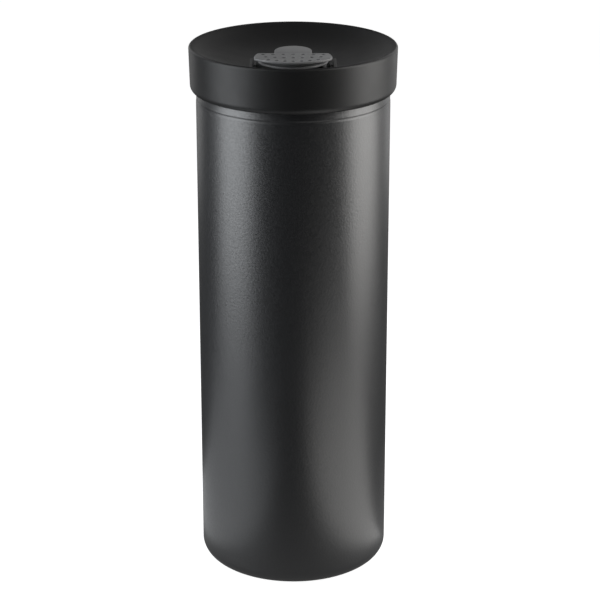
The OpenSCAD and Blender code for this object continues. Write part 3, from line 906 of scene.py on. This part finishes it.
class TUMBLER_OT_cover(Operator):
    """Dished cover with its collar and rim, the lever's well and the two cheeks"""

    bl_idname = "tumbler.cover"
    bl_label = "Lid cover"

    def execute(self, context):
        lid = context.scene.tumbler_lid
        edge, top = lid.radius - lid.rim_width, lid.top
        dish_top = top - lid.rim_drop
        low_r = lid.radius - lid.taper
        curl = lid.lower_round
        foot = lid.bore + 0.02 * MM
        foot_angle = -math.degrees(math.acos((foot - (low_r - curl)) / curl))
        seat_wide = 1.2 * MM
        seat_r = high("cover_seal").x - seat_wide
        flange_top, seal_top = low("cover_seal").z, high("cover_seal").z
        steps = 30
        radii = [edge * i / steps for i in range(steps + 1)]
        under = [seat_r * i / 12 for i in range(13)]
        profile = (
            [(lid.bore, lid.bottom + 1 * MM)]
            + arc(low_r - curl, lid.bottom + curl, curl, foot_angle, 0, 12)
            + arc(lid.radius - lid.rim_round, top - lid.rim_round, lid.rim_round, 0, 90, 8)
            + softened([(lid.radius - lid.rim_round - 0.2 * MM, top - 0.04 * MM, 0.4 * MM),
                        (edge + 0.35 * MM, dish_top + 0.2 * MM, 1.5 * MM),
                        (edge - 1 * MM, dish_height(lid, edge - 1 * MM))])[:-1]
            + [(r, dish_height(lid, r)) for r in radii[-2::-1]]
            + [(r, dish_height(lid, r) - lid.dish_wall) for r in under]
            + [(seat_r, seal_top), (seat_r + seat_wide, seal_top), (seat_r + seat_wide, flange_top),
               (lid.bore, flange_top)])
        cover = lathe("dished_lid", profile)

        well_floor = dish_height(lid, 0) - lid.well_sink
        tray_low = well_floor - lid.dish_wall
        half, cheek = lid.well_half, lid.cheek
        pin_y, pin_z, pin_r = pin_place()
        rear = pin_y + lid.well_behind
        well_front = edge - 0.6 * MM
        cheek_top = dish_top - 0.3 * MM
        crown = cheek_top - pin_z

        spread = math.degrees(math.asin((half + cheek) / seat_r))
        tray_plan = arc(0, 0, seat_r - 0.05 * MM, -90 - spread, -90 + spread, 40)
        tray_plan += [(half + cheek, rear + cheek), (-half - cheek, rear + cheek)]
        joined(cover, slab("tray", tray_plan, tray_low, well_floor))
        front = -math.sqrt((edge - 0.1 * MM) ** 2 - (half + cheek) ** 2)
        side = [(front, well_floor - 1 * MM), (pin_y + crown, well_floor - 1 * MM)]
        side += arc(pin_y, pin_z, crown, 0, 90, 12) + [(front, cheek_top)]
        levels = rounded_levels(-cheek / 2, cheek / 2, 0.25 * MM, 0.25 * MM, 3)
        for sign in (-1, 1):
            wall = finished(stack_bm(side, levels), "cheek")
            # the outline's (y, z) become the piece's Y and Z, and its thickness runs along X
            turn = Matrix(((0, 0, 1, sign * (half + cheek / 2)), (1, 0, 0, 0), (0, 1, 0, 0), (0, 0, 0, 1)))
            moved(wall, turn)
            joined(cover, wall)

        reach = math.degrees(math.asin(half / well_front))
        well_plan = softened(arc(0, 0, well_front, -90 - reach, -90 + reach, 48)
                             + [(half, rear, 0.8 * MM), (-half, rear, 0.8 * MM)])
        carve(cover, slab("well", well_plan, well_floor, top + 2 * MM, 0.4 * MM, 0))
        ease = 0.35 * MM
        pierce(cover, lid, [(0, tray_low - 1 * MM), (0, well_floor - ease),
                            (-0.3 * ease, well_floor - 0.3 * ease), (-ease, well_floor + 0.01 * MM),
                            (-ease, well_floor + 0.6 * MM)])
        drill(cover, pin_r, high("hinge_pin").x + 0.02 * MM, 48)
        shade(cover, 32.0)
        dress(cover, "lid_plastic", "lid", "lid_cover")
        return {"FINISHED"}


class TUMBLER_OT_pin(Operator):
    """Steel pin that the lever rocks on"""

    bl_idname = "tumbler.pin"
    bl_label = "Hinge pin"

    def execute(self, context):
        radius, half = pin_place()[2], high("hinge_pin").x
        profile = softened([(0, -half), (radius, -half, 0.3 * MM), (radius, half, 0.3 * MM), (0, half)])
        piece = along_pin(lathe("steel_hinge_pin", profile, 48))
        dress(piece, "turned_steel", "lid", "hinge_pin")
        return {"FINISHED"}


# ---------------------------------------------------------------- the lever

def plate_plan(lever):
    """Half-moon outline of the grip plate, anticlockwise from its rear right corner."""
    rear = -(lever.front - lever.plate_length)
    front_c = -(lever.front - lever.front_radius)
    end_c = -(lever.front - lever.end_back)
    big, small = lever.front_radius, lever.end_radius
    meet_y = (big ** 2 - small ** 2 - front_c ** 2 + end_c ** 2) / (2 * (end_c - front_c))
    meet_x = math.sqrt(big ** 2 - (meet_y - front_c) ** 2)
    turn_front = math.degrees(math.atan2(meet_y - front_c, meet_x))
    turn_end = math.degrees(math.atan2(meet_y - end_c, meet_x))
    turn_rear = math.degrees(math.asin((rear - end_c) / small))
    left_end = arc(0, end_c, small, 180 - turn_rear, 180 - turn_end, 10)
    front = arc(0, front_c, big, -180 - turn_front, turn_front, 40)
    right_end = arc(0, end_c, small, turn_end, turn_rear, 10)
    points = [(*left_end[0], 1.6 * MM)] + left_end[1:-1] + [(*front[0], 2.5 * MM)] + front[1:-1]
    points += [(*front[-1], 2.5 * MM)] + right_end[1:-1] + [(*right_end[-1], 1.6 * MM)]
    return softened(points, 6)


def dimple_cutter(lever, top):
    """Round-bottomed pegs, in columns and rows, that cut the grip dimples."""
    bm = bmesh.new()
    columns, rows, edge, sides = 3, 3, 1.9 * MM, 20
    round_r, base = 0.25 * MM, top - lever.dimple_deep
    flared = lever.dimple + 0.1 * MM
    profile = arc(lever.dimple - round_r, base + round_r, round_r, -90, 0, 3)
    profile += [(lever.dimple, top - 0.08 * MM), (flared, top + 0.02 * MM), (flared, top + 1 * MM)]
    for column in range(-columns, columns + 1):
        for row in range(rows):
            x = column * (lever.dimple_pitch - 0.35 * MM * row)
            front = lever.front - lever.front_radius + math.sqrt(lever.front_radius ** 2 - x * x) - edge
            back = lever.front - lever.plate_length + edge
            y = -back - (front - back) * row / (rows - 1)
            skin(bm, [[bm.verts.new((px, py, z)) for px, py in circle_outline(radius, x, y, sides)]
                      for radius, z in profile])
    return bm


class TUMBLER_OT_lever(Operator):
    """Rocker lever: dimpled grip plate, finger wall, thumb tab, hinge barrel and posts"""

    bl_idname = "tumbler.lever"
    bl_label = "Rocker lever"

    def execute(self, context):
        lid, lever = context.scene.tumbler_lid, context.scene.tumbler_lever
        rear = -(lever.front - lever.plate_length)
        top = lid.top + lever.proud
        under = top - lever.plate
        wall_z = under - lever.wall
        pin_y, pin_z, pin_r = pin_place()
        barrel_half = lid.well_half - 1.1 * MM

        piece = slab("rocker_lever", plate_plan(lever), under, top, 0.2 * MM, 0.3 * MM)
        carve(piece, finished(dimple_cutter(lever, top), "dimples"))
        wall_r = min(lever.plate_length, lid.well_half - 0.5 * MM)
        lip = 0.4 * MM
        foot = wall_r - lever.lean
        groove = softened([
            (0, wall_z), (foot, wall_z, 0.15 * MM), (foot, wall_z + lip, 0.2 * MM),
            (foot + lever.lean / 2 - lever.finger, wall_z + 2 * lip, 0.6 * MM),
            (wall_r - lever.finger, under - 2 * lip, 0.9 * MM), (wall_r - lip, under),
            (wall_r - lip, under + 0.3 * MM), (0, under + 0.3 * MM)], 4)
        half_disc = finished(lathe_bm(groove, 72, 180.0, 180.0), "wall")
        joined(piece, moved(half_disc, Matrix.Translation((0, rear, 0))))

        flat = lever.tab_length - lever.tab_radius
        r = lever.tab_radius
        tab_plan = [(-r, -0.4 * MM), (r, -0.4 * MM)] + arc(0, flat, r, 0, 180, 32)
        tab_low = top - lever.tab - 0.04 * MM
        tab = slab("tab", tab_plan, 0, lever.tab, 0.35 * MM, 0.45 * MM)
        lift = Matrix.Translation((0, rear, tab_low)) @ Matrix.Rotation(lever.tab_tilt, 4, "X")
        joined(piece, moved(tab, lift))

        barrel = lathe_bm(softened([(0, -barrel_half), (lever.barrel, -barrel_half, 0.3 * MM),
                                    (lever.barrel, barrel_half, 0.3 * MM), (0, barrel_half)]), 64)
        joined(piece, along_pin(finished(barrel, "barrel")))
        neck_y = pin_y - lever.neck
        neck = [(-barrel_half, neck_y), (barrel_half, neck_y), (barrel_half, pin_y), (-barrel_half, pin_y)]
        joined(piece, slab("neck", neck, pin_z, tab_low))
        post_low = high("sip_stopper").z
        for (x, y), radius in (((0, hole_y()), 2.4 * MM), (vent_place(), 1.4 * MM)):
            joined(piece, slab("post", circle_outline(radius, x, y, 40), post_low, under + 0.2 * MM))
        drill(piece, pin_r + lever.pin_gap, 25 * MM, 64)

        shade(piece, 34.0)
        # the lever's light grey is painted sheen from the back light on its top
        dress(piece, "lever_plastic", "lever", "flip_lever")
        return {"FINISHED"}


class TUMBLER_OT_stoppers(Operator):
    """Silicone stoppers under the lever, one for the drink hole and one for the vent"""

    bl_idname = "tumbler.stoppers"
    bl_label = "Stoppers"

    def execute(self, context):
        edge = 0.3 * MM
        for node, drop in (("sip_stopper", 1.2 * MM), ("vent_stopper", 0.6 * MM)):
            a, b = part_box(node)
            long, wide, pad = b.x - a.x, b.y - a.y, a.z + drop
            step = 2.1 * MM if node == "sip_stopper" else wide / 2 - 0.7 * MM
            plan = slot_outline(long + 1e-6, wide, (a.y + b.y) / 2, (a.x + b.x) / 2)
            levels = [(step + edge, a.z), (step + 0.3 * edge, a.z + 0.3 * edge), (step, a.z + edge),
                      (step, pad), (edge, pad)] + rounded_levels(pad, b.z, edge, edge, 3)[1:]
            piece = finished(stack_bm(plan, levels), "silicone_" + node)
            dress(piece, "silicone", "lever", node)
        return {"FINISHED"}


# ---------------------------------------------------------------- the studio

def soft_box(name, place, aim, size, power, tint, roll=0.0):
    """A rectangular soft light that points at a place."""
    light = bpy.data.lights.new(name, "AREA")
    light.shape = "RECTANGLE"
    light.size, light.size_y = size
    light.energy = power
    light.color = tint
    lamp = bpy.data.objects.new(name, light)
    turn = (Vector(aim) - Vector(place)).to_track_quat("-Z", "Y").to_matrix().to_4x4()
    lamp.matrix_world = Matrix.Translation(place) @ turn @ Matrix.Rotation(math.radians(roll), 4, "Z")
    lamp.visible_camera = False
    bpy.context.scene.collection.objects.link(lamp)


def lamps(studio):
    """Tall soft boxes at the sides, low panels for the cup's foot, and panels behind for its edges."""
    cool, warm, white = (0.94, 0.97, 1.0), (1.0, 0.99, 0.97), (1.0, 1.0, 1.0)
    chest, middle = (0, -0.03, 0.36), (0, 0, 0.2)
    tall, low_panel, edge_panel = (0.31, 0.72), (0.17, 0.20), (0.25, 0.60)
    left, right = studio.left_power, studio.right_power
    soft_box("left_soft_box", (-0.38, -0.14, 0.36), chest, tall, left, cool)
    soft_box("right_soft_box", (0.38, -0.065, 0.36), chest, tall, right, warm, 12.0)
    soft_box("left_low_panel", (-0.13, -0.04, 0.003), (-0.13, -0.04, 1.0), low_panel, left * 0.026, cool)
    soft_box("right_low_panel", (0.13, -0.10, 0.003), (0.13, -0.10, 1.0), low_panel, right * 0.048, warm)
    soft_box("left_edge_panel", (-0.27, 0.36, 0.30), middle, edge_panel, studio.left_edge_power, white)
    soft_box("right_edge_panel", (0.27, 0.36, 0.30), middle, edge_panel, studio.right_edge_power, white)
    soft_box("back_panel", (0.0, 1.2, 0.42), middle, (1.6, 0.8), studio.back_power, white)


class TUMBLER_OT_studio(Operator):
    """Plain pale floor, soft boxes, low panels and edge panels, pale surroundings and the camera"""

    bl_idname = "tumbler.studio"
    bl_label = "Studio"

    def execute(self, context):
        scene = context.scene
        studio = scene.tumbler_studio
        bm = bmesh.new()
        bmesh.ops.create_circle(bm, cap_ends=True, segments=96, radius=studio.floor_radius)
        floor = finished(bm, "pale_floor")
        paint(floor, "pale_floor")
        lamps(studio)

        world = bpy.data.worlds.new("pale_surroundings")
        world.use_nodes = True
        tree = world.node_tree
        back = tree.nodes["Background"]
        rays = tree.nodes.new("ShaderNodeLightPath")
        mix = tree.nodes.new("ShaderNodeMix")
        mix.data_type = "RGBA"
        mix.inputs[6].default_value = (0.01, 0.01, 0.01, 1.0)
        mix.inputs[7].default_value = (1.0, 1.0, 1.0, 1.0)
        tree.links.new(rays.outputs["Is Camera Ray"], mix.inputs["Factor"])
        tree.links.new(mix.outputs[2], back.inputs["Color"])
        scene.world = world
        scene.view_settings.view_transform = "Standard"

        camera = bpy.data.cameras.new("camera")
        camera.lens = studio.lens
        camera.sensor_width = 36.0
        camera.clip_start = 0.01
        eye = bpy.data.objects.new("camera", camera)
        eye.location = studio.eye
        eye.rotation_euler = (math.radians(90) - studio.pitch, 0.0, -studio.yaw)
        scene.collection.objects.link(eye)
        scene.camera = eye
        return {"FINISHED"}


class TUMBLER_PT_panel(Panel):
    """Sidebar list of the tumbler's pieces"""

    bl_label = "Insulated tumbler"
    bl_idname = "TUMBLER_PT_panel"
    bl_space_type = "VIEW_3D"
    bl_region_type = "UI"
    bl_category = "Tumbler"

    def draw(self, context):
        scene = context.scene
        for operator in OPERATORS:
            self.layout.operator(operator.bl_idname)
        for name in GROUPS:
            group = getattr(scene, name)
            box = self.layout.box()
            box.label(text=group.bl_rna.name)
            for key in group.bl_rna.properties.keys():
                if key not in ("rna_type", "name"):
                    box.prop(group, key)


GROUPS = {
    "tumbler_cup": CupSizes,
    "tumbler_lid": LidSizes,
    "tumbler_lever": LeverSizes,
    "tumbler_finishes": Finishes,
    "tumbler_studio": StudioSettings,
}
OPERATORS = (TUMBLER_OT_studio, TUMBLER_OT_shell, TUMBLER_OT_base, TUMBLER_OT_liner, TUMBLER_OT_hidden,
             TUMBLER_OT_gasket, TUMBLER_OT_insert, TUMBLER_OT_cover, TUMBLER_OT_pin, TUMBLER_OT_lever,
             TUMBLER_OT_stoppers)


def register():
    """Adds the settings, the operators and the panel."""
    for group in GROUPS.values():
        bpy.utils.register_class(group)
    for name, group in GROUPS.items():
        setattr(bpy.types.Scene, name, PointerProperty(type=group))
    for operator in OPERATORS:
        bpy.utils.register_class(operator)
    bpy.utils.register_class(TUMBLER_PT_panel)


def unregister():
    """Takes them away again."""
    bpy.utils.unregister_class(TUMBLER_PT_panel)
    for operator in reversed(OPERATORS):
        bpy.utils.unregister_class(operator)
    for name, group in GROUPS.items():
        delattr(bpy.types.Scene, name)
        bpy.utils.unregister_class(group)


def main():
    """Builds every piece and the studio."""
    register()
    bpy.ops.tumbler.studio()
    bpy.ops.tumbler.shell()
    bpy.ops.tumbler.base()
    bpy.ops.tumbler.liner()
    bpy.ops.tumbler.hidden()
    bpy.ops.tumbler.gasket()
    bpy.ops.tumbler.insert()
    bpy.ops.tumbler.cover()
    bpy.ops.tumbler.pin()
    bpy.ops.tumbler.lever()
    bpy.ops.tumbler.stoppers()


if __name__ == "__main__":
    main()
